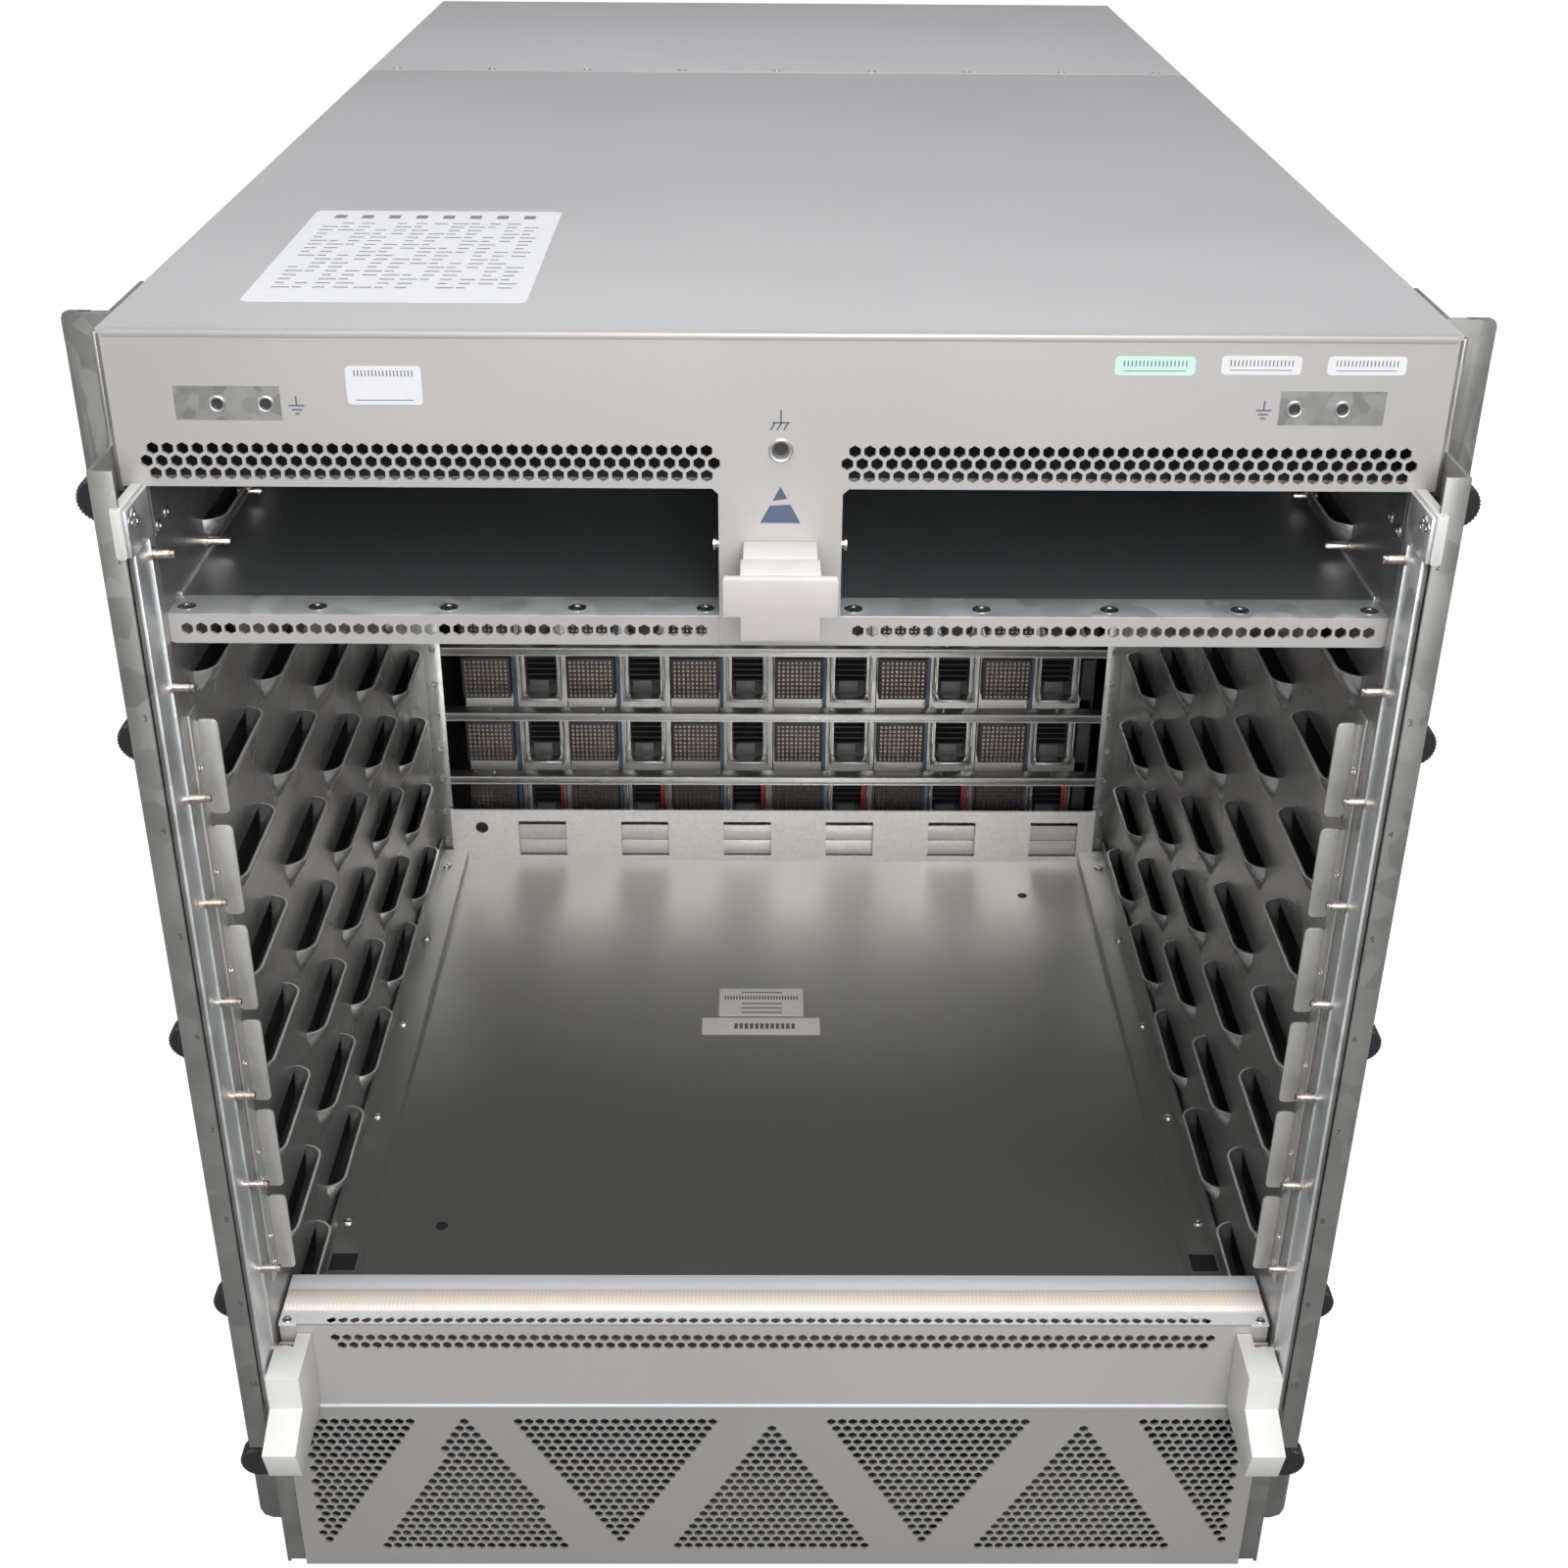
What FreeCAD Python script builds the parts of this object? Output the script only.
import FreeCAD, Part
import math
import os
import re
import Sketcher

os.makedirs("parts", exist_ok=True)

# A 13U modular switch chassis: a folded-sheet case with a louvred line-card cage, two supervisor
# bays above it, one blank card cover fitted in the lowest slot, and six fabric modules at the rear.
#
# Millimetres. X runs to the right seen from the front, Y runs from the front to the rear, Z is up.
# The origin is the middle of the underside. Formulas for Y count from the front plane of the bezels.
# Left-hand pieces are built, and right-hand ones mirror them in the plane X = 0.

SIZES = [
    # The case
    ("bezel_height", 52, "upper bezel"),
    ("case_width", 448, "over the outer faces of the side panels"),
    ("depth", 788, "bezel front plane to the rear face"),
    ("panel", 1.5, "sheet of side panels, covers, base and rear frame"),
    ("sheet", 1.2, "sheet of bezels, walls, shelf, decks and trays"),
    ("bezel_gap", 1.5, "side panel to bezel edge"),
    ("seam_y", 509, "seam between the two top covers"),
    ("seam_gap", 1.2, "gap at that seam"),
    ("cover_skirt", 14, "height of the folded edges of covers and base"),
    # Front jambs of the side panels
    ("jamb_reach", 24, "side panel jamb ahead of the bezels"),
    ("jamb_rise", 12, "top of that jamb above the lower edge of the upper bezel"),
    ("jamb_width", 8.5, "folded front edge that carries the slot numbers"),
    ("jamb_gap", 1.5, "between jamb and card wall"),
    # Levels
    ("deck_z", 100.2, "top of the cage floor and of the lower bezel"),
    ("slot_clear", 1.5, "cage floor to the lower edge of the lowest slot"),
    ("slot_pitch", 44.45, "one rack unit"),
    ("slots", 8, "line-card slots"),
    ("shelf_rise", 18.7, "top slot to the top face of the supervisor shelf"),
    ("shelf_lip", 15, "height of the lip of that shelf"),
    ("shelf_vents", 8, "openings on each side of that lip"),
    ("shelf_vent_edge", 23.3, "last such opening from the card wall"),
    ("shelf_vent_half", 9.3, "half length of such an opening"),
    ("shelf_vent_drop", 8, "middle of such an opening below the shelf"),
    ("shelf_vent_height", 3.9, "height of such an opening"),
    ("bay_height", 49, "supervisor bay, shelf to upper bezel"),
    # Card wall
    ("wall_inset", 11.2, "outside of the case to the inner face of a card wall"),
    ("wall_reach", 22, "edge strip of a card wall ahead of the bezels"),
    ("wall_step_rise", 29, "shelf to the top of that strip"),
    ("cage_depth", 466, "front plane to the rear edge of the card wall"),
    ("louvres", 5, "louvres in a row"),
    ("louvre_first", 20, "near end of the first louvre"),
    ("louvre_pitch", 86, "louvre spacing along the wall"),
    ("louvre_length", 62, "length of a louvre"),
    ("louvre_height", 16, "height of a louvre"),
    ("louvre_depth", 8, "height of the hood above the wall"),
    ("louvre_slope", 8, "run of the hood's ends"),
    ("louvre_under", 9, "run of the hood's underside"),
    ("louvre_rise", 9.7, "slot centre to the open top edge of a louvre"),
    # Guide tabs and ejector pins
    ("tab_width", 8, "front-facing guide tab"),
    ("tab_height", 30, "height of a guide tab"),
    ("tab_drop", 2.1, "tab below its pin"),
    ("tab_front", 4, "front edge of the tab strip"),
    ("tab_reach", 10, "depth of the tab strip"),
    ("pin_radius", 1.5, "ejector pin"),
    ("pin_length", 8, "ejector pin"),
    ("pin_rise", 16.3, "slot centre to its ejector pin"),
    ("pin_front", 6, "ejector pins ahead of the bezels"),
    ("bay_pin_rise", 25.5, "shelf to the ejector pins of the supervisor bays"),
    ("bay_pin_length", 4, "ejector pins on the tongue"),
    # Upper bezel
    ("tongue_half", 21, "half width of the tongue between the supervisor bays"),
    ("tongue_drop", 9.4, "tongue below the shelf"),
    ("vent_rise", 7.8, "middle of the vent band above the lower edge of the bezel"),
    ("vent_flats", 12.4, "vent opening across flats"),
    ("vent_edge", 11.6, "last vent from the outside of the case"),
    ("vent_first", 32, "first vent from the centre"),
    ("vents", 12, "vents on each side"),
    ("jack_rise", 12, "wrist-strap jack above the lower edge of the bezel"),
    ("jack_radius", 3.6, "outside of the jack"),
    ("jack_bore", 2.05, "socket for a 4 mm plug"),
    ("jack_length", 13, "jack, front to rear"),
    ("jack_proud", 1, "jack ahead of the bezel"),
    ("ground_inset", 45.8, "middle of a ground-lug pair from the outside of the case"),
    ("ground_pitch", 15.88, "ground-lug hole spacing"),
    ("ground_rise", 27, "ground-lug holes above the lower edge of the bezel"),
    ("ground_radius", 2.5, "threaded bore of a ground insert"),
    ("ground_body", 4.6, "outside of a ground insert"),
    ("ground_length", 9, "ground insert, front to rear"),
    # Centre catch and end catches
    ("catch_reach", 33, "centre catch ahead of the bezel"),
    ("catch_plate", 3.5, "T plate of the centre catch"),
    ("catch_half", 19.2, "half width of the T"),
    ("catch_stem", 13.4, "half width of the stem"),
    ("catch_rise", 29, "shelf to the top of the centre catch"),
    ("catch_arm", 14.5, "height of the arms of the T"),
    ("catch_foot", 8.5, "stem below the arms"),
    ("end_catch_rise", 32, "shelf to the lower edge of an end catch"),
    ("end_catch_height", 24, "height of an end catch"),
    ("end_catch_sheet", 2, "sheet of an end catch"),
    ("end_catch_lip", 5.5, "lip of an end catch over the jamb"),
    ("divider_half", 19, "half width of the channel between the supervisor bays"),
    ("divider_height", 40, "height of that channel"),
    # Lower bezel
    ("grille_inset", 9, "outside of the case to the end of the lower bezel"),
    ("hole_flats", 17.4, "grille opening across flats"),
    ("hole_rows", 4, "rows of openings in one truss panel"),
    ("truss_low", 22, "centre of the lowest row above the underside"),
    ("truss_crown", 18.4, "centre of the top row below the cage floor"),
    ("truss_edge", 22, "middles of the end panels to the ends of the bezel, both together"),
    ("trusses", 3, "upright truss panels"),
    # Rack ears and their screws
    ("ear_y", 25.4, "front face of the rack ears"),
    ("ear_sheet", 1.6, "rack ear sheet"),
    ("ear_reach", 17.3, "ear beyond the case"),
    ("ear_leg", 40, "ear along the side panel"),
    ("ear_round", 6, "outer corners of an ear"),
    ("ear_facet", 1.8, "middle of such a corner, in from both edges"),
    ("screw_offset", 8.55, "rack screws from the case"),
    ("screw_one_z", 56, "rack screws, from the base up"),
    ("screw_two_z", 151, "second rack screw"),
    ("screw_three_z", 288, "third rack screw"),
    ("screw_four_drop", 155, "fourth rack screw below the top"),
    ("screw_five_drop", 62, "top rack screw below the top"),
    ("knob_radius", 8.2, "knurled head of a rack screw"),
    ("knob_length", 9, "length of the head"),
    ("neck_radius", 6, "neck of a rack screw"),
    ("neck_length", 8, "length of the neck"),
    ("undercut_radius", 2.2, "rack screw where it passes the ear"),
    ("shank_radius", 2.5, "thread of a rack screw"),
    ("shank_length", 14, "thread behind the ear"),
    ("running_gap", 0.08, "radial clearance of turning pieces"),
    ("knob_gap", 0.3, "clearance of neck and case"),
    # Blank card cover
    ("cover_side", 8.8, "front plate of the cover to the card wall"),
    ("cover_flange", 31, "depth of its top flange"),
    ("cover_rise", 46.5, "top face of its top flange above the cage floor"),
    ("cover_vents", 14, "openings along its front"),
    ("cover_vent_edge", 30, "plain ends of the plate, both together"),
    ("cover_vent_bar", 5, "bar between those openings"),
    ("cover_vent_height", 5, "height of such an opening"),
    ("cover_vent_drop", 6.5, "such an opening below the top flange"),
    ("cover_ear_reach", 13.8, "hinge ear of a lever ahead of the bezel plane"),
    ("cover_ear_half", 6.2, "half height of a hinge ear"),
    ("gasket_front", 10, "front edge of the gasket strip"),
    ("gasket_width", 11, "gasket strip"),
    ("gasket_height", 1.8, "gasket strip"),
    ("tray_clear", 1.3, "side of the tray to the card wall"),
    ("rail_width", 15.5, "side rail of the tray"),
    ("tray_step", 7, "height of the side rails above the floor"),
    ("tray_side", 15.5, "height of its side walls"),
    ("tray_rest", 0.3, "clearance below the tray"),
    ("notch_length", 13, "notches in the rails"),
    ("notch_width", 11.7, "notches in the rails"),
    ("tray_short", 1.5, "rear end of the tray ahead of the rear edge of the card walls"),
    ("back_height", 38, "height of the rear wall of the tray"),
    ("window_width", 30, "windows of the rear wall"),
    ("window_height", 25, "windows of the rear wall"),
    ("window_rise", 4.8, "windows above the floor of the tray"),
    ("wall_hole_x", 184.8, "round hole in the rear wall, left of the middle"),
    ("wall_hole_rise", 25.5, "round hole above the cage floor"),
    ("wall_hole_radius", 4, "round hole in the rear wall"),
    # Ejector levers
    ("lever_clear", 1, "outer face of a lever to the card wall"),
    ("lever_width", 14, "width of a lever"),
    ("lever_step", 27, "reach of the upper block"),
    ("lever_reach", 46, "reach of the lower block"),
    ("lever_tip", 40.5, "reach of the lower edge of the tip"),
    ("lever_drop", 3.7, "top of a lever below the top of the cover"),
    ("lever_upper", 17, "height of the upper block"),
    ("lever_slope", 7.5, "fall of the step between the blocks"),
    ("lever_back", 0.3, "clearance behind a lever"),
    ("pivot_y", 8, "pivot ahead of the bezel plane"),
    ("pivot_rise", 8.8, "pivot above the cage floor"),
    ("pivot_radius", 2, "pivot pin"),
    ("heel_radius", 7.7, "rounded heel of a lever"),
    ("ear_slot_radius", 12.5, "slot for the hinge ear"),
    ("ear_slot_gap", 0.4, "side clearance of the hinge ear"),
    ("hook_gap", 0.8, "lever to ejector pin"),
    # Rear frame of the cage
    ("post_width", 10.1, "frame post inside the card wall"),
    ("post_depth", 34, "side leg of a frame post"),
    ("bar_rise", 14, "slot edge to the top of its cross bar"),
    ("bar_height", 5, "front web of a cross bar"),
    ("bar_depth", 10, "top web of a cross bar"),
    ("bar_lap", 4.3, "cross bar behind a frame post"),
    # Fabric modules
    ("modules", 6, "fabric modules"),
    ("module_room", 58, "width of the case less the row of modules"),
    ("module_gap", 0.6, "between modules"),
    ("module_distance", 34, "rear edge of the card walls to the modules"),
    ("module_drop", 1, "top of the modules below the upper bezel's edge"),
    ("module_rest", 0.4, "clearance under a module"),
    ("module_tail", 4, "module face behind the case"),
    ("module_shift", 0.3, "module row left of the middle"),
    ("port_width", 30, "fabric connector"),
    ("port_height", 27.5, "fabric connector"),
    ("port_depth", 12, "fabric connector"),
    ("port_rise", 6, "slot centre to connector centre"),
    ("port_inset", 0.6, "connector from the left side of its module"),
    ("air_width", 20, "air opening beside a connector"),
    ("air_margin", 16.5, "middle of an air opening from the right side of its module"),
    ("air_height", 32, "air opening"),
    ("air_depth", 30, "depth of an air opening"),
    ("slots_per_fan", 2, "outlet slots over each fan"),
    ("fans", 3, "fan positions in a module"),
    ("fan_pitch", 118, "fan spacing"),
    ("fan_first", 50, "lowest outlet above the foot of its module"),
    ("outlet_width", 46, "outlet slot"),
    ("outlet_height", 9, "outlet slot"),
    ("outlet_depth", 10, "depth of an outlet slot"),
    ("outlet_pitch", 22, "outlet slot spacing"),
    ("grip_height", 70, "pull handle of a module"),
    ("grip_reach", 22, "pull handle of a module"),
    ("grip_bar", 7, "bar of a pull handle"),
    ("grip_z", 60, "foot of a pull handle below the top of its module"),
    # Bus and power bay
    ("bus_gap", 4.5, "power bus from the row of modules"),
    ("bus_port_width", 7, "power connector"),
    ("bus_port_gap", 3, "power connector to the front of the modules"),
    ("power_vent_rows", 2, "rows of openings of the power bay"),
    ("power_vent_z", 15.5, "foot of the lower row"),
    ("power_vent_pitch", 28, "spacing of the rows"),
    ("power_vent_height", 14, "height of an opening"),
    ("power_vent_inset", 7.2, "bar between neighbouring openings, on each side"),
]

# Sizes that follow from the ones above.

DERIVED = {
    "slot_base": "deck_z + slot_clear",
    "shelf_z": "slot_base + slots * slot_pitch + shelf_rise",
    "bay_top": "shelf_z + bay_height",
    "case_height": "bay_top + bezel_height",
    "jamb_top": "bay_top + jamb_rise",
    "vent_z": "bay_top + vent_rise",
    "jack_z": "bay_top + jack_rise",
    "ground_z": "bay_top + ground_rise",
    "wall_step_z": "shelf_z + wall_step_rise",
    "bay_pin_z": "shelf_z + bay_pin_rise",
    "tongue_bottom": "shelf_z - tongue_drop",
    "catch_top": "shelf_z + catch_rise",
    "catch_step": "catch_top - catch_arm",
    "catch_bottom": "catch_step - catch_foot",
    "end_catch_low": "shelf_z + end_catch_rise",
    "end_catch_high": "end_catch_low + end_catch_height",
    "screw_four_z": "case_height - screw_four_drop",
    "screw_five_z": "case_height - screw_five_drop",
    "wall_face": "case_width / 2 - wall_inset",
    "ground_x": "case_width / 2 - ground_inset",
    "grille_half": "case_width / 2 - grille_inset",
    "ear_end": "case_width / 2 + ear_reach",
    "rack_half": "case_width / 2 + screw_offset",
    "vent_pitch": "(case_width / 2 - vent_first - vent_edge) / (vents - 1)",
    "shelf_vent_pitch": "(wall_face - vent_first - shelf_vent_edge) / (shelf_vents - 1)",
    "truss_pitch": "(2 * grille_half - truss_edge) / trusses",
    "hole_step": "(deck_z - truss_low - truss_crown) / (hole_rows - 1)",
    "hole_pitch": f"hole_step * {2 / math.sqrt(3):.6f}",
    "cover_half": "wall_face - cover_side",
    "cover_top": "deck_z + cover_rise",
    "cover_vent_pitch": "(2 * cover_half - cover_vent_edge) / cover_vents",
    "tray_half": "wall_face - tray_clear",
    "tray_floor": "tray_half - rail_width",
    "tray_end": "cage_depth - tray_short",
    "wall_hole_z": "deck_z + wall_hole_rise",
    "lever_outer": "wall_face - lever_clear",
    "lever_top": "cover_top - lever_drop",
    "lever_waist": "lever_top - lever_upper",
    "lever_brow": "lever_waist - lever_slope",
    "pivot_z": "deck_z + pivot_rise",
    "post_face": "wall_face - post_width",
    "bar_half": "post_face + bar_lap",
    "module_pitch": "(case_width - module_room) / modules",
    "module_front": "cage_depth + module_distance",
    "module_top": "bay_top - module_drop",
    "air_inset": "module_pitch - air_margin",
    "bus_face": "modules * module_pitch / 2 + bus_gap",
}

doc = FreeCAD.newDocument("Chassis")
sheet = doc.addObject("Spreadsheet::Sheet", "Sizes")
for row, (alias, amount, meaning) in enumerate(SIZES, start=1):
    sheet.set(f"A{row}", meaning)
    sheet.set(f"B{row}", str(amount))
    sheet.setAlias(f"B{row}", alias)
doc.recompute()

NODES = []
TURN = {
    "x": FreeCAD.Rotation(FreeCAD.Vector(0, 1, 0), 90),
    "y": FreeCAD.Rotation(FreeCAD.Vector(1, 0, 0), -90),
    "z": FreeCAD.Rotation(),
}
CORNER_UP = {"x": 0, "y": 90, "z": 0}
SCREW_HEIGHTS = ["screw_one_z", "screw_two_z", "screw_three_z", "screw_four_z", "screw_five_z"]
ACROSS = f"{1 / math.sqrt(3):.6f}"
ROUND_EIGHT = f"{1 / math.cos(math.pi / 8):.6f}"


def size(name):
    """The number in one cell of the sheet."""
    return float(sheet.get(name))


def count(name):
    """A whole number in one cell of the sheet."""
    return int(round(size(name)))


def expand(text):
    """A formula with each derived size written out."""
    def write_out(word):
        name = word.group()
        return f"({expand(DERIVED[name])})" if name in DERIVED else name

    return re.sub(r"[a-z][a-z_]*", write_out, text)


def formula(text):
    """A formula over size names, as the document's expression language writes it."""
    return re.sub(r"[a-z][a-z_]*", lambda word: "Sizes." + word.group(), expand(text))


def bind(item, **formulas):
    """Tie properties of an object to formulas."""
    for name, text in formulas.items():
        item.setExpression(name, formula(text))


def place(item, x, y, z):
    """Put an object at X, at Y behind the front plane, and at Z."""
    item.setExpression("Placement.Base.x", formula(x))
    item.setExpression("Placement.Base.y", formula(f"({y}) - depth / 2"))
    item.setExpression("Placement.Base.z", formula(z))
    return item


def box(label, x, y, z):
    """A box between the low and high formulas of each axis."""
    item = doc.addObject("Part::Box", label)
    spans = [f"({high}) - ({low})" for low, high in (x, y, z)]
    bind(item, Length=spans[0], Width=spans[1], Height=spans[2])
    return place(item, x[0], y[0], z[0])


def rod(label, axis, radius, length, x, y, z):
    """A cylinder along an axis, from the point x, y, z."""
    item = doc.addObject("Part::Cylinder", label)
    item.Placement.Rotation = TURN[axis]
    bind(item, Radius=radius, Height=length)
    return place(item, x, y, z)


def prism(label, axis, sides, radius, length, x, y, z):
    """A regular prism along an axis, with its radius over the corners and a corner at the top."""
    item = doc.addObject("Part::Prism", label)
    item.Polygon = sides
    item.Placement.Rotation = TURN[axis] * FreeCAD.Rotation(FreeCAD.Vector(0, 0, 1), CORNER_UP[axis])
    bind(item, Circumradius=radius, Height=length)
    return place(item, x, y, z)


def join(label, items):
    """One solid from pieces that meet."""
    item = doc.addObject("Part::MultiFuse", label)
    item.Shapes = items
    item.Refine = True
    return item


def group(label, items):
    """Several separate solids of one kind."""
    item = doc.addObject("Part::Compound", label)
    item.Links = items
    return item


def cut(label, base, tools):
    """A piece less its openings, which don't overlap one another."""
    item = doc.addObject("Part::Cut", label)
    item.Base = base
    item.Tool = tools[0] if len(tools) == 1 else group(label + "_tools", tools)
    return item


def mirror(label, source):
    """The right-hand twin of a left-hand piece."""
    item = doc.addObject("Part::Mirroring", label)
    item.Source = source
    item.Normal = FreeCAD.Vector(1, 0, 0)
    return item


def folded(label, plane, corners, start, length):
    """A section with its corners at (u, v) formulas, extruded from start over length.

    The section lies on the XY, XZ or YZ plane, and a Y among its formulas counts from the front plane.
    """
    body = doc.addObject("PartDesign::Body", label)
    outline = body.newObject("Sketcher::SketchObject", label + "_section")
    support = next(item for item in body.Origin.OriginFeatures if item.Role == plane + "_Plane")
    outline.AttachmentSupport = [(support, "")]
    outline.MapMode = "FlatFace"
    points = [FreeCAD.Vector(u_value, v_value, 0) for u_value, v_value in rough_points(corners)]
    for index, point in enumerate(points):
        outline.addGeometry(Part.LineSegment(point, points[(index + 1) % len(points)]), False)
    for index in range(len(points)):
        following = (index + 1) % len(points)
        outline.addConstraint(Sketcher.Constraint("Coincident", index, 2, following, 1))
    for index, (u, v) in enumerate(corners):
        for kind, text, value in (("DistanceX", u, points[index].x), ("DistanceY", v, points[index].y)):
            number = outline.addConstraint(Sketcher.Constraint(kind, -1, 1, index, 1, value))
            outline.setExpression(f"Constraints[{number}]", formula(text))
    pad = body.newObject("PartDesign::Pad", label + "_pad")
    pad.Profile = outline
    pad.Reversed = plane == "XZ"
    bind(pad, Length=length)
    along = {"XY": ("0", "0", start), "XZ": ("0", start, "0"), "YZ": (start, "0", "0")}[plane]
    place(body, *along)
    return body


def rough_points(corners):
    """The corners of a section in millimetres, for the sketch's first shape."""
    return [(arithmetic(u), arithmetic(v)) for u, v in corners]


def arithmetic(text):
    """Work out a formula of sums, products and brackets over size names."""
    values = {alias: amount for alias, amount, meaning in SIZES}
    tokens = re.findall(r"[a-z_]+|[0-9.]+|[-+*/()]", expand(text))

    def factor():
        token = tokens.pop(0)
        if token == "-":
            return -factor()
        if token == "(":
            amount = total()
            tokens.pop(0)
            return amount
        return float(values.get(token, token))

    def product():
        amount = factor()
        while tokens and tokens[0] in "*/":
            amount = amount * factor() if tokens.pop(0) == "*" else amount / factor()
        return amount

    def total():
        amount = product()
        while tokens and tokens[0] in "+-":
            amount += product() if tokens.pop(0) == "+" else -product()
        return amount

    return total()


def node(item):
    """Count an object among the pieces that are written out."""
    NODES.append(item)
    return item


def pair(left_label, right_label, build):
    """A left-hand piece and its mirrored twin."""
    left = node(build(left_label))
    node(mirror(right_label, left))
    return left


def slot_centre(index):
    """Height of the middle of a line-card slot, counted from the lowest."""
    return f"slot_base + slot_pitch * {index + 0.5}"


# Case


def side_panel(label):
    """Outer sheet with a jamb ahead of the bezels, its folded edge and the strip beside the grille."""
    outline = [
        ("panel", "0"),
        ("depth", "0"),
        ("depth", "case_height - panel"),
        ("panel", "case_height - panel"),
        ("panel", "jamb_top"),
        ("0 - jamb_reach", "jamb_top"),
        ("0 - jamb_reach", "deck_z"),
        ("panel", "deck_z"),
    ]
    skin = folded(label + "_skin", "YZ", outline, "-case_width / 2", "panel")
    edge_x = ("-case_width / 2 + panel", "-case_width / 2 + jamb_width")
    edge = box(label + "_edge", edge_x, ("-jamb_reach", "panel - jamb_reach"),
               ("deck_z", "jamb_top"))
    strip = box(label + "_strip", edge_x, ("panel", "2 * panel"), ("panel", "deck_z"))
    return join(label, [skin, edge, strip])


def channel(label, start, length, low, high, skirt_low, skirt_high):
    """A flat sheet with both long edges folded, as wide as the case inside its side panels."""
    inner = "(case_width / 2 - panel)"
    flat = box(label + "_flat", ("-" + inner, inner), (start, f"{start} + {length}"), (low, high))
    folds = [
        box(f"{label}_fold_{side}", span, (start, f"{start} + {length}"), (skirt_low, skirt_high))
        for side, span in (
            ("left", ("-" + inner, f"panel - {inner}")),
            ("right", (f"{inner} - panel", inner)),
        )
    ]
    return join(label, [flat] + folds)


def case():
    """Base, side panels, covers and the frame round the rear bays."""
    pair("left_side_panel", "right_side_panel", side_panel)
    node(channel("base_pan", "2 * panel", "depth - 3 * panel", "0", "panel", "panel", "cover_skirt"))
    roof = ("case_height - panel", "case_height")
    skirt = ("case_height - cover_skirt", "case_height - panel")
    node(channel("front_top_cover", "sheet", "seam_y - seam_gap / 2 - sheet", *roof, *skirt))
    rear_start = "seam_y + seam_gap / 2"
    node(channel("rear_top_cover", rear_start, f"depth - ({rear_start})", *roof, *skirt))
    inner = "(case_width / 2 - panel)"
    plate = box("rear_plate", ("-" + inner, inner), ("depth - panel", "depth"),
                ("panel", "case_height - cover_skirt"))
    half_row = "modules * module_pitch / 2"
    bay = box("module_bay", (f"-{half_row} - module_shift", f"{half_row} - module_shift"),
              ("depth - 2 * panel", "depth + panel"), ("deck_z", "bay_top"))
    vents = [
        box(f"power_vent_{index}_{level}",
            (f"-{half_row} + module_pitch * {index} + power_vent_inset",
             f"-{half_row} + module_pitch * {index + 1} - power_vent_inset"),
            ("depth - 2 * panel", "depth + panel"),
            (f"power_vent_z + power_vent_pitch * {level}",
             f"power_vent_z + power_vent_pitch * {level} + power_vent_height"))
        for index in range(count("modules")) for level in range(count("power_vent_rows"))
    ]
    node(cut("rear_frame", plate, [bay] + vents))


# Card cage


def wall_louvres(label, depth_low, depth_high, trim):
    """One tapered block for each louvre, from depth_low to depth_high inside the wall's face."""
    blocks = []
    for slot in range(count("slots")):
        for index in range(count("louvres")):
            block = doc.addObject("Part::Wedge", f"{label}_{slot}_{index}")
            block.Placement.Rotation = FreeCAD.Rotation(FreeCAD.Vector(0, 0, 1), -90)
            half = f"(louvre_length / 2 - {trim})"
            bind(block, Xmin="-" + half, Xmax=half, Ymin=depth_low, Ymax=depth_high,
                 Zmin=f"{trim} - louvre_height", Zmax="0",
                 X2min=f"louvre_slope - {half}", X2max=f"{half} - louvre_slope",
                 Z2min=f"{trim} + louvre_under - louvre_height", Z2max="0")
            blocks.append(place(block, "-wall_face",
                                f"louvre_first + louvre_pitch * {index} + louvre_length / 2",
                                f"{slot_centre(slot)} + louvre_rise"))
    return blocks


def wall_edge(label):
    """Strip that lines the jamb ahead of the card wall."""
    return box(label, ("-wall_face - sheet", "-wall_face"), ("-wall_reach", "0"), ("deck_z", "wall_step_z"))


def card_wall(label):
    """Card wall with rows of louvres drawn inward, each open along its top edge."""
    outline = [
        ("0", "deck_z"),
        ("cage_depth", "deck_z"),
        ("cage_depth", "bay_top"),
        ("2 * sheet", "bay_top"),
        ("2 * sheet", "wall_step_z"),
        ("0", "wall_step_z"),
    ]
    skin = folded(label + "_skin", "YZ", outline, "-wall_face - sheet", "sheet")
    hoods = wall_louvres(label + "_hood", "0", "louvre_depth", "0")
    drawn = join(label + "_drawn", [skin] + hoods)
    return cut(label, drawn, wall_louvres(label + "_open", "-sheet", "louvre_depth - sheet", "sheet"))


def pin_heights():
    """Heights of the ejector pins of the line-card slots."""
    return [f"{slot_centre(slot)} + pin_rise" for slot in range(count("slots"))]


def guide_tabs(label):
    """A strip on the wall with one front-facing tab beside each slot, the lowest and top ones apart."""
    heights = [f"{height} - tab_drop" for height in pin_heights()[1:-1]]
    strip = box(label + "_strip", ("-wall_face", "sheet - wall_face"),
                ("tab_front", "tab_front + tab_reach"), (heights[0], f"{heights[-1]} + tab_height"))
    tabs = [
        box(f"{label}_{index}", ("sheet - wall_face", "tab_width + sheet - wall_face"),
            ("tab_front + tab_reach - sheet", "tab_front + tab_reach"), (low, f"{low} + tab_height"))
        for index, low in enumerate(heights)
    ]
    return join(label, [strip] + tabs)


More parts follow.
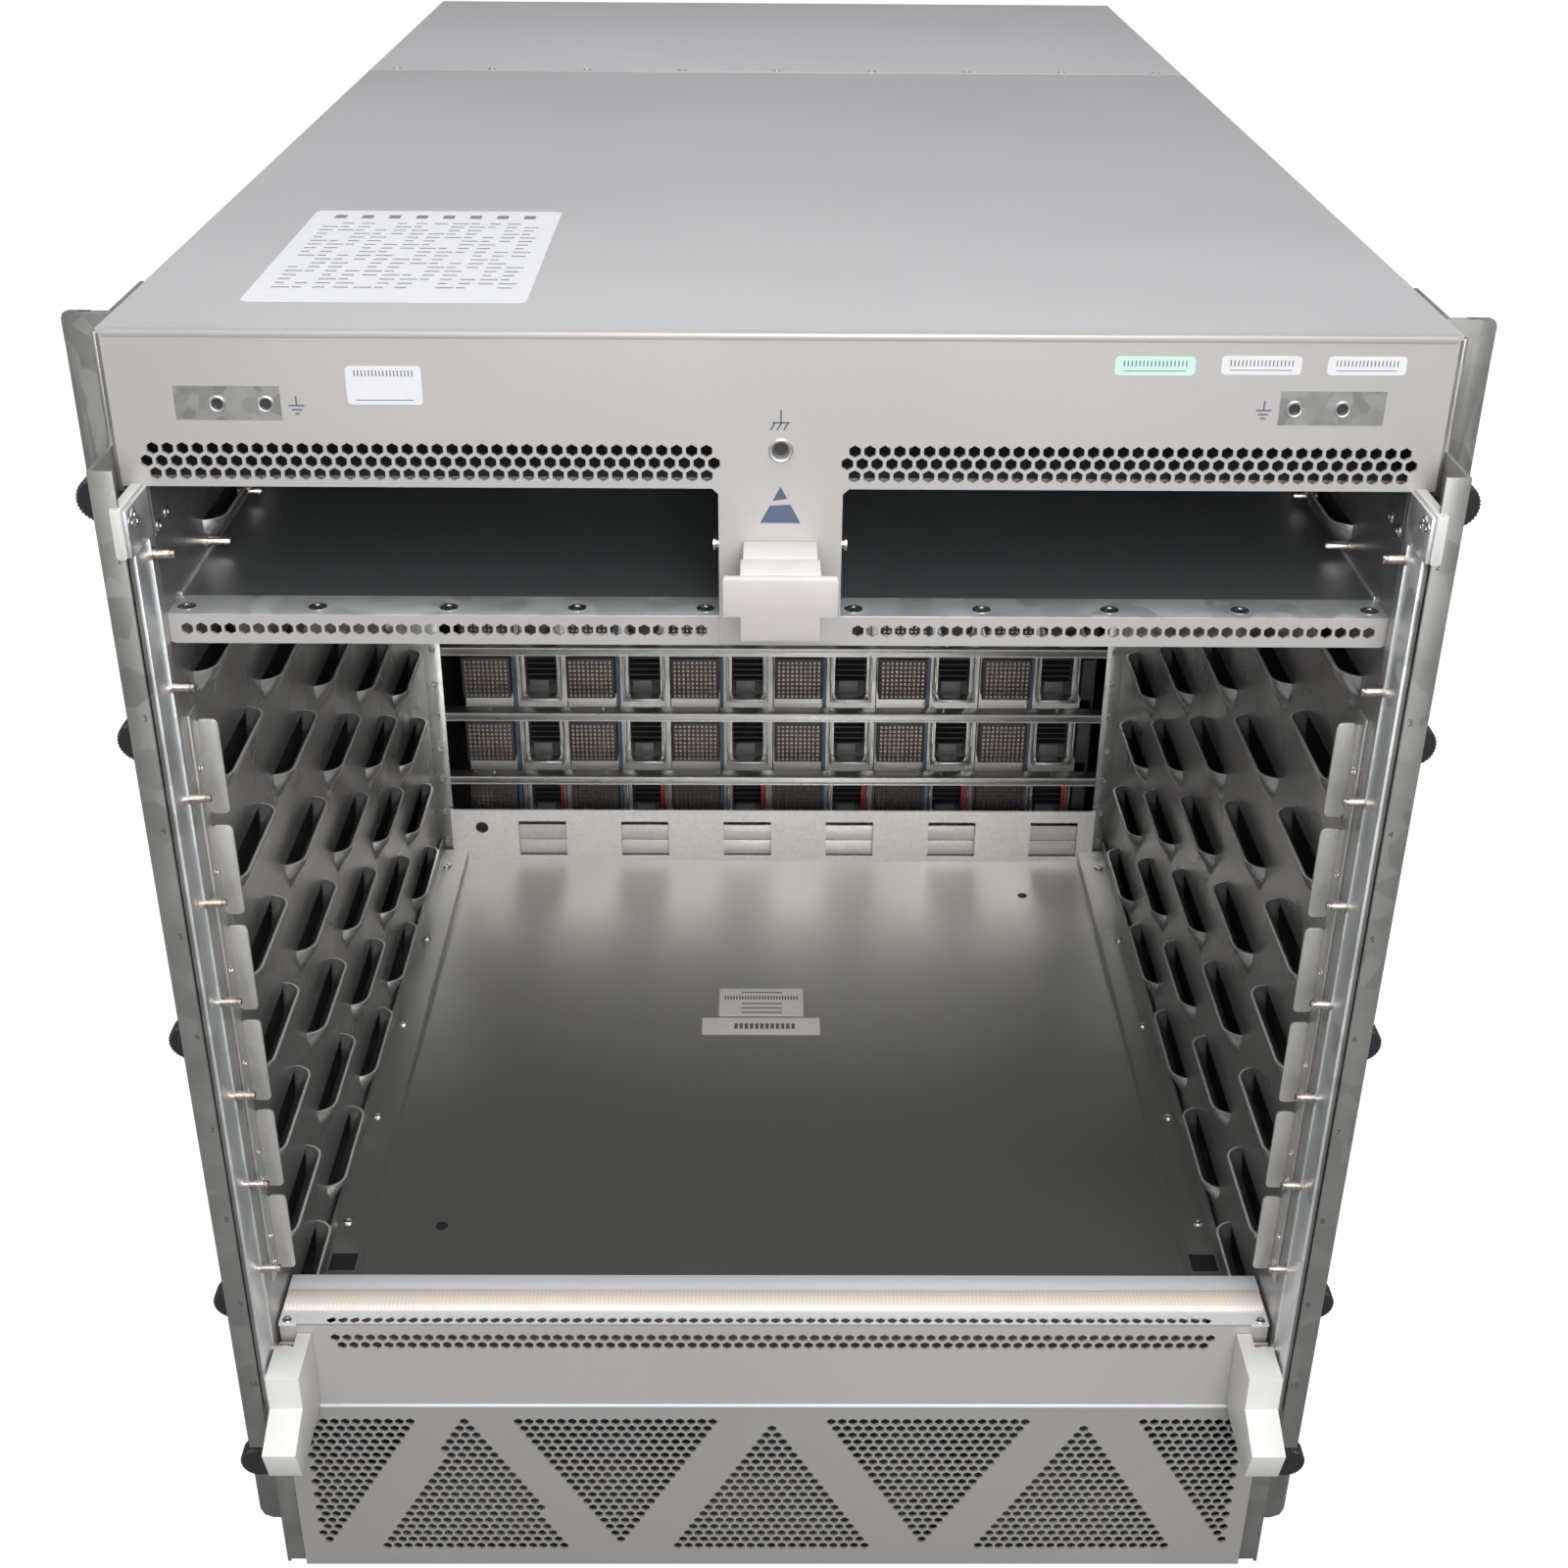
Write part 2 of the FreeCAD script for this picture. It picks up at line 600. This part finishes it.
def ejector_pins():
    """Pins on both card walls for the levers of the cards, and four for the supervisor bays."""
    pins = []
    for side, start in (("left", "-wall_face"), ("right", "wall_face - pin_length")):
        for index, height in enumerate(pin_heights() + ["bay_pin_z"]):
            pins.append(prism(f"pin_{side}_{index}", "x", 8, "pin_radius", "pin_length",
                              start, "-pin_front", height))
    for side, start in (("left", "-divider_half - bay_pin_length"), ("right", "divider_half")):
        pins.append(prism(f"pin_centre_{side}", "x", 8, "pin_radius", "bay_pin_length",
                          start, "pin_front", "bay_pin_z"))
    node(group("ejector_pins", pins))


def supervisor_bays():
    """Shelf with a perforated lip, and the channel that parts the two bays."""
    lip = box("shelf_lip_plate", ("-wall_face", "wall_face"), ("sheet", "2 * sheet"),
              ("shelf_z - shelf_lip", "shelf_z"))
    deck = box("shelf_deck", ("-wall_face", "wall_face"), ("2 * sheet", "cage_depth"),
               ("shelf_z - sheet", "shelf_z"))
    middle = "shelf_z - shelf_vent_drop"
    openings = [
        box(f"shelf_vent_{side}_{index}",
            (f"{sign} * (vent_first + shelf_vent_pitch * {index}) - shelf_vent_half",
             f"{sign} * (vent_first + shelf_vent_pitch * {index}) + shelf_vent_half"),
            ("0", "3 * sheet"), (f"{middle} - shelf_vent_height / 2", f"{middle} + shelf_vent_height / 2"))
        for side, sign in (("left", "-1"), ("right", "1")) for index in range(count("shelf_vents"))
    ]
    node(cut("supervisor_shelf", join("shelf_sheet", [lip, deck]), openings))
    web = ("-divider_half", "divider_half")
    run = ("2 * sheet", "cage_depth")
    rise = ("shelf_z", "bay_top")
    node(join("bay_divider", [
        box("divider_web", web, run, ("shelf_z", "shelf_z + sheet")),
        box("divider_left", ("-divider_half", "sheet - divider_half"), run, rise),
        box("divider_right", ("divider_half - sheet", "divider_half"), run, rise),
    ]))


def decks():
    """Floor of the card cage and the roof over the supervisor bays, through to the rear frame."""
    inner = "(case_width / 2 - panel)"
    run = ("2 * panel", "depth - panel")
    node(box("cage_floor", ("-" + inner, inner), run, ("deck_z - sheet", "deck_z")))
    node(box("cage_roof", ("-" + inner, inner), run, ("bay_top", "bay_top + sheet")))


def frame_post(label):
    """Angle at the rear edge of the card wall: a face with the cross bars behind it, and a side leg."""
    section = [
        ("0 - wall_face - sheet", "0"),
        ("0 - post_face", "0"),
        ("0 - post_face", "sheet"),
        ("0 - wall_face", "sheet"),
        ("0 - wall_face", "post_depth"),
        ("0 - wall_face - sheet", "post_depth"),
    ]
    post = folded(label, "XY", section, "deck_z", "bay_top - deck_z")
    return place(post, "0", "cage_depth", "deck_z")


def rear_cage():
    """Posts and cross bars at the rear of the card cage, and the power bus beside the modules."""
    pair("left_frame_post", "right_frame_post", frame_post)
    bars = []
    for index in range(1, count("slots") + 1):
        top = f"slot_base + slot_pitch * {index} + bar_rise"
        start = "cage_depth + sheet"
        face = box(f"bar_face_{index}", ("-bar_half", "bar_half"), (start, f"{start} + sheet"),
                   (f"{top} - bar_height", top))
        web = box(f"bar_web_{index}", ("-bar_half", "bar_half"), (f"{start} + sheet", f"{start} + bar_depth"),
                  (f"{top} - sheet", top))
        bars.append(join(f"bar_{index}", [face, web]))
    node(group("cross_bars", bars))
    board = box("bus_board", ("bus_face", "bus_face + sheet"), ("module_front - port_depth", "depth - panel"),
                ("deck_z", "bay_top"))
    ports = [
        box(f"bus_port_{slot}", ("bus_face - bus_port_width", "bus_face"),
            ("module_front - port_depth", "module_front - bus_port_gap"),
            (f"{slot_centre(slot)} + port_rise - port_height / 2",
             f"{slot_centre(slot)} + port_rise + port_height / 2"))
        for slot in range(count("slots"))
    ]
    node(join("power_bus", [board] + ports))


# Bezels


def upper_bezel():
    """Front plate with vents, a wrist-strap jack, ground-lug holes and the tongue between the bays."""
    half = "(case_width / 2 - panel - bezel_gap)"
    band = box("bezel_band", ("-" + half, half), ("0", "sheet"), ("bay_top", "case_height"))
    tongue = box("bezel_tongue", ("-tongue_half", "tongue_half"), ("0", "sheet"), ("tongue_bottom", "bay_top"))
    holes = [rod("jack_hole", "y", "jack_radius", "2 * sheet", "0", "-sheet / 2", "jack_z")]
    for side, sign in (("left", "-1"), ("right", "1")):
        for index in range(count("vents")):
            holes.append(prism(f"vent_{side}_{index}", "y", 6, f"vent_flats * {ACROSS}", "3 * sheet",
                                 f"{sign} * (vent_first + vent_pitch * {index})", "-sheet", "vent_z"))
        for index, step in enumerate(("-0.5", "0.5")):
            holes.append(prism(f"ground_hole_{side}_{index}", "y", 6, "ground_body", "2 * sheet",
                               f"{sign} * ground_x + {step} * ground_pitch", "-sheet / 2", "ground_z"))
    node(cut("upper_bezel", join("bezel_sheet", [band, tongue]), holes))


def bezel_fittings():
    """The wrist-strap jack and the four threaded ground inserts."""
    node(cut("wrist_strap_jack",
             rod("jack_body", "y", "jack_radius", "jack_length", "0", "-jack_proud", "jack_z"),
             [rod("jack_socket", "y", "jack_bore", "jack_length + 2 * jack_proud", "0",
                  "-2 * jack_proud", "jack_z")]))
    inserts = []
    for side, sign in (("left", "-1"), ("right", "1")):
        for index, step in enumerate(("-0.5", "0.5")):
            spot = (f"{sign} * ground_x + {step} * ground_pitch", "0", "ground_z")
            label = f"insert_{side}_{index}"
            outer = prism(label + "_body", "y", 6, "ground_body", "ground_length", *spot)
            bore = rod(label + "_bore", "y", "ground_radius", "ground_length", *spot)
            inserts.append(cut(label, outer, [bore]))
    node(group("ground_inserts", inserts))


def catches():
    """The T-shaped centre catch on the tongue, and the folded catches at the ends of the bays."""
    arms = box("catch_arms", ("-catch_half", "catch_half"), ("-catch_reach", "catch_plate - catch_reach"),
               ("catch_step", "catch_top"))
    stem = box("catch_stem_plate", ("-catch_stem", "catch_stem"), ("-catch_reach", "catch_plate - catch_reach"),
               ("catch_bottom", "catch_top"))
    block = box("catch_block", ("-catch_stem", "catch_stem"), ("catch_plate - catch_reach", "0"),
                ("catch_step", "catch_top"))
    node(join("centre_catch", [arms, stem, block]))
    pair("left_end_catch", "right_end_catch", end_catch)


def end_catch(label):
    """A folded angle: a lip over the jamb and a side plate beside the bay."""
    section = [
        ("0 - wall_face - sheet - end_catch_lip", "0 - jamb_reach - end_catch_sheet"),
        ("0 - wall_face", "0 - jamb_reach - end_catch_sheet"),
        ("0 - wall_face", "0"),
        ("0 - wall_face - end_catch_sheet", "0"),
        ("0 - wall_face - end_catch_sheet", "0 - jamb_reach"),
        ("0 - wall_face - sheet - end_catch_lip", "0 - jamb_reach"),
    ]
    return folded(label, "XY", section, "end_catch_low", "end_catch_high - end_catch_low")


def truss_centres():
    """Centres of the grille openings: triangles of hexagons that stand and hang in turn."""
    rows = count("hole_rows")
    centres = []
    for panel_index in range(2 * count("trusses") + 1):
        middle = panel_index - count("trusses")
        upright = (panel_index + count("trusses")) % 2 == 0
        for level in range(rows):
            across = rows - level if upright else level + 1
            for step in range(across):
                offset = step - (across - 1) / 2
                x = f"truss_pitch / 2 * {middle} + hole_pitch * {offset}"
                z = f"truss_low + hole_step * {level}"
                end_panel = abs(middle) == count("trusses")
                if not end_panel or offset * middle <= 0:
                    centres.append((x, z))
    return centres


def lower_bezel():
    """Grille of hexagonal openings in a truss of triangles, with folded top and bottom edges."""
    face = box("grille_face", ("-grille_half", "grille_half"), ("0", "sheet"), ("0", "deck_z"))
    top = box("grille_top", ("-grille_half", "grille_half"), ("sheet", "2 * panel"),
              ("deck_z - sheet", "deck_z"))
    holes = [prism(f"grille_hole_{index}", "y", 6, f"hole_flats * {ACROSS}", "3 * sheet", x, "-sheet", z)
             for index, (x, z) in enumerate(truss_centres())]
    node(cut("lower_bezel", join("grille_sheet", [face, top]), holes))


# Rack ears and their screws


def rack_ear(label):
    """Angle with rounded outer corners, clearance holes for the rack screws and a leg on the side panel."""
    foot = "panel"
    head = "case_height - panel"
    outline = [
        ("0 - case_width / 2", foot),
        ("ear_round - ear_end", foot),
        ("ear_facet - ear_end", foot + " + ear_facet"),
        ("0 - ear_end", foot + " + ear_round"),
        ("0 - ear_end", head + " - ear_round"),
        ("ear_facet - ear_end", head + " - ear_facet"),
        ("ear_round - ear_end", head),
        ("0 - case_width / 2", head),
    ]
    flange = folded(label + "_flange", "XZ", outline, "ear_y", "ear_sheet")
    leg = box(label + "_leg", ("-case_width / 2 - ear_sheet", "-case_width / 2"),
              ("ear_y + ear_sheet", "ear_y + ear_leg"), (foot, head))
    holes = [
        prism(f"{label}_hole_{index}", "y", 8, f"(shank_radius + running_gap) * {ROUND_EIGHT}",
              "3 * ear_sheet", "-rack_half", "ear_y - ear_sheet", height)
        for index, height in enumerate(SCREW_HEIGHTS)
    ]
    return cut(label, join(label + "_sheet", [flange, leg]), holes)


def rack_screws():
    """Captive knurled screws, five to an ear; each turns in its ear."""
    for side, x in (("left", "-rack_half"), ("right", "rack_half")):
        for index, height in enumerate(SCREW_HEIGHTS, start=1):
            label = f"rack_screw_{side}_{index}"
            neck = prism(label + "_neck", "y", 8, "neck_radius", "neck_length", x,
                         "ear_y - knob_gap - neck_length", height)
            head = prism(label + "_head", "y", 12, "knob_radius", "knob_length", x,
                         "ear_y - knob_gap - neck_length - knob_length", height)
            undercut = prism(label + "_undercut", "y", 8, "undercut_radius", "knob_gap + ear_sheet", x,
                             "ear_y - knob_gap", height)
            shank = rod(label + "_shank", "y", "shank_radius", "shank_length", x, "ear_y + ear_sheet", height)
            node(join(label, [head, neck, undercut, shank]))


# Blank card cover


def blank_cover():
    """Front plate with a top flange and gasket, a long stepped tray, and its rear wall."""
    base = "(deck_z + tray_rest)"
    plate = box("cover_plate", ("-cover_half", "cover_half"), ("0", "sheet"), (base, "cover_top"))
    flange = box("cover_flange_sheet", ("-lever_outer", "lever_outer"), ("sheet", "cover_flange"),
                 ("cover_top - sheet", "cover_top"))
    ears = [
        box(f"cover_ear_{side}", span, ("-cover_ear_reach", "0"),
            ("pivot_z - cover_ear_half", "pivot_z + cover_ear_half"))
        for side, span in (("left", ("-cover_half", "sheet - cover_half")),
                           ("right", ("cover_half - sheet", "cover_half")))
    ]
    half_run = "(cover_vents - 1) / 2"
    vents = [
        box(f"cover_vent_{index}",
            (f"cover_vent_pitch * ({index} - {half_run} - 0.5) + cover_vent_bar / 2",
             f"cover_vent_pitch * ({index} - {half_run} + 0.5) - cover_vent_bar / 2"),
            ("-sheet", "2 * sheet"),
            ("cover_top - cover_vent_drop - cover_vent_height", "cover_top - cover_vent_drop"))
        for index in range(count("cover_vents"))
    ]
    pin_holes = [rod("cover_pin_hole", "x", "pivot_radius", "2 * lever_outer", "-lever_outer",
                     "-pivot_y", "pivot_z")]
    node(cut("cover_front", join("cover_sheet", [plate, flange] + ears), vents + pin_holes))
    node(box("cover_gasket", ("-cover_half", "cover_half"), ("gasket_front", "gasket_front + gasket_width"),
             ("cover_top", "cover_top + gasket_height")))
    tray(base)
    node(group("lever_pins", [
        rod("lever_pin_left", "x", "pivot_radius", "lever_width - 2 * sheet",
            "sheet - lever_outer", "-pivot_y", "pivot_z"),
        rod("lever_pin_right", "x", "pivot_radius", "lever_width - 2 * sheet",
            "lever_outer + sheet - lever_width", "-pivot_y", "pivot_z"),
    ]))
    pair("left_ejector", "right_ejector", ejector)


def tray(base):
    """Tray folded from one sheet: sunk floor, raised rails with square notches, and side walls."""
    rise = "deck_z + tray_rest"
    section = [
        ("0 - tray_floor", rise),
        ("tray_floor", rise),
        ("tray_floor", rise + " + tray_step"),
        ("tray_half", rise + " + tray_step"),
        ("tray_half", rise + " + tray_side"),
        ("tray_half - sheet", rise + " + tray_side"),
        ("tray_half - sheet", rise + " + tray_step + sheet"),
        ("tray_floor - sheet", rise + " + tray_step + sheet"),
        ("tray_floor - sheet", rise + " + sheet"),
        ("sheet - tray_floor", rise + " + sheet"),
        ("sheet - tray_floor", rise + " + tray_step + sheet"),
        ("sheet - tray_half", rise + " + tray_step + sheet"),
        ("sheet - tray_half", rise + " + tray_side"),
        ("0 - tray_half", rise + " + tray_side"),
        ("0 - tray_half", rise + " + tray_step"),
        ("0 - tray_floor", rise + " + tray_step"),
    ]
    sheet_body = folded("tray_sheet", "XZ", section, "sheet", "tray_end - sheet")
    notches = [
        box(f"tray_notch_{side}", span, ("cover_flange + sheet", "cover_flange + sheet + notch_length"),
            (f"{base} + tray_step - sheet", f"{base} + tray_step + 2 * sheet"))
        for side, span in (("left", ("-tray_floor - sheet - notch_width", "-tray_floor - sheet")),
                           ("right", ("tray_floor + sheet", "tray_floor + sheet + notch_width")))
    ]
    node(cut("cover_tray", sheet_body, notches))
    end = ("tray_end - sheet", "tray_end")
    lower = box("tray_wall_lower", ("sheet - tray_floor", "tray_floor - sheet"), end,
                (f"{base} + sheet", f"{base} + tray_step + sheet"))
    upper = box("tray_wall_upper", ("-cover_half", "cover_half"), end,
                (f"{base} + tray_step + sheet", f"{base} + back_height"))
    windows = [
        box(f"tray_window_{index}",
            (f"{module_left(index)} + air_inset - window_width / 2",
             f"{module_left(index)} + air_inset + window_width / 2"),
            ("tray_end - 2 * sheet", "tray_end + sheet"),
            (f"{base} + window_rise", f"{base} + window_rise + window_height"))
        for index in range(count("modules"))
    ]
    hole = rod("tray_wall_hole", "y", "wall_hole_radius", "3 * sheet", "-wall_hole_x",
               "tray_end - 2 * sheet", "wall_hole_z")
    node(cut("cover_rear_wall", join("tray_wall", [lower, upper]), windows + [hole]))


def ejector(label):
    """Stepped lever with a rounded heel round its pivot, a slot for the hinge ear and a hook for the pin."""
    outline = [
        ("0 - lever_back", "pivot_z"),
        ("0 - lever_back", "lever_top"),
        ("0 - lever_step", "lever_top"),
        ("0 - lever_step", "lever_waist"),
        ("0 - lever_reach", "lever_brow"),
        ("0 - lever_tip", "pivot_z - heel_radius"),
        ("0 - pivot_y", "pivot_z - heel_radius"),
        ("0 - pivot_y", "pivot_z"),
    ]
    blade = folded(label + "_blade", "YZ", outline, "-lever_outer", "lever_width")
    heel = rod(label + "_heel", "x", "heel_radius", "lever_width", "-lever_outer", "-pivot_y", "pivot_z")
    slot_x = "-cover_half - ear_slot_gap"
    slot = rod(label + "_slot", "x", "ear_slot_radius", "sheet + 2 * ear_slot_gap", slot_x,
               "-pivot_y", "pivot_z")
    bore = rod(label + "_bore", "x", "pivot_radius + running_gap", "lever_width - sheet / 2",
               "-lever_outer", "-pivot_y", "pivot_z")
    hook = box(label + "_hook",
               ("-lever_outer - sheet", "pin_length + hook_gap - wall_face"),
               ("-pin_front - pin_radius - hook_gap", "0"),
               (f"{pin_heights()[0]} - pin_radius - hook_gap", "lever_top + sheet"))
    body = join(label + "_body", [blade, heel])
    return cut(label, body, [join(label + "_pivot", [slot, bore]), hook])


# Fabric modules


def module_left(index):
    """X of the left side of a fabric module."""
    return f"module_pitch * ({index} - modules / 2) - module_shift + module_gap / 2"


def fabric_module(index):
    """Closed housing with air openings ahead, outlet slots behind and a pull handle; and its connectors."""
    label = f"fabric_module_{index + 1}"
    left = module_left(index)
    right = f"{left} + module_pitch - module_gap"
    foot = "(deck_z + module_rest)"
    tail = "(depth + module_tail)"
    shell = box(label + "_shell", (left, right), ("module_front", tail), (foot, "module_top"))
    openings = [
        box(f"{label}_air_{slot}",
            (f"{left} + air_inset - air_width / 2", f"{left} + air_inset + air_width / 2"),
            ("module_front - sheet", "module_front + air_depth"),
            (f"{slot_centre(slot)} + port_rise - air_height / 2",
             f"{slot_centre(slot)} + port_rise + air_height / 2"))
        for slot in range(count("slots"))
    ]
    middle = f"{left} + module_pitch / 2 - module_gap / 2"
    openings += [
        box(f"{label}_outlet_{number}_{level}",
            (f"{middle} - outlet_width / 2", f"{middle} + outlet_width / 2"),
            (f"{tail} - outlet_depth", f"{tail} + sheet"),
            (f"{foot} + fan_first + fan_pitch * {number} + outlet_pitch * {level}",
             f"{foot} + fan_first + fan_pitch * {number} + outlet_pitch * {level} + outlet_height"))
        for number in range(count("fans")) for level in range(count("slots_per_fan"))
    ]
    grip_low = "module_top - grip_z - grip_height"
    grip_x = (f"{middle} - grip_bar / 2", f"{middle} + grip_bar / 2")
    grip = [
        box(label + "_grip", grip_x, (f"{tail} + grip_reach - grip_bar", f"{tail} + grip_reach"),
            (grip_low, f"{grip_low} + grip_height")),
        box(label + "_grip_foot", grip_x, (tail, f"{tail} + grip_reach - grip_bar"),
            (grip_low, f"{grip_low} + grip_bar")),
        box(label + "_grip_head", grip_x, (tail, f"{tail} + grip_reach - grip_bar"),
            (f"{grip_low} + grip_height - grip_bar", f"{grip_low} + grip_height")),
    ]
    housing = cut(label + "_case", shell, openings)
    node(join(label, [housing] + grip))
    node(group(f"fabric_connectors_{index + 1}", [
        box(f"{label}_port_{slot}", (f"{left} + port_inset", f"{left} + port_inset + port_width"),
            ("module_front - port_depth", "module_front"),
            (f"{slot_centre(slot)} + port_rise - port_height / 2",
             f"{slot_centre(slot)} + port_rise + port_height / 2"))
        for slot in range(count("slots"))
    ]))


def check(items):
    """Stop if the document holds a failed object, or a piece without a sound solid."""
    for item in doc.Objects:
        if "Invalid" in item.State or "Error" in item.State:
            raise RuntimeError(f"{item.Name} failed: {item.State}")
    for item in items:
        shape = item.Shape
        if shape.isNull() or not shape.isValid() or not shape.Solids:
            raise RuntimeError(f"{item.Label} has no sound solid")


def build():
    """Build every piece, check the document and write one file for each piece."""
    case()
    pair("left_card_wall", "right_card_wall", card_wall)
    pair("left_wall_edge", "right_wall_edge", wall_edge)
    pair("left_guide_tabs", "right_guide_tabs", guide_tabs)
    ejector_pins()
    supervisor_bays()
    decks()
    rear_cage()
    upper_bezel()
    bezel_fittings()
    catches()
    lower_bezel()
    pair("left_rack_ear", "right_rack_ear", rack_ear)
    rack_screws()
    blank_cover()
    for index in range(count("modules")):
        fabric_module(index)
    doc.recompute()
    check(NODES)
    for item in NODES:
        item.Shape.exportStep(f"parts/{item.Label}.step")


build()
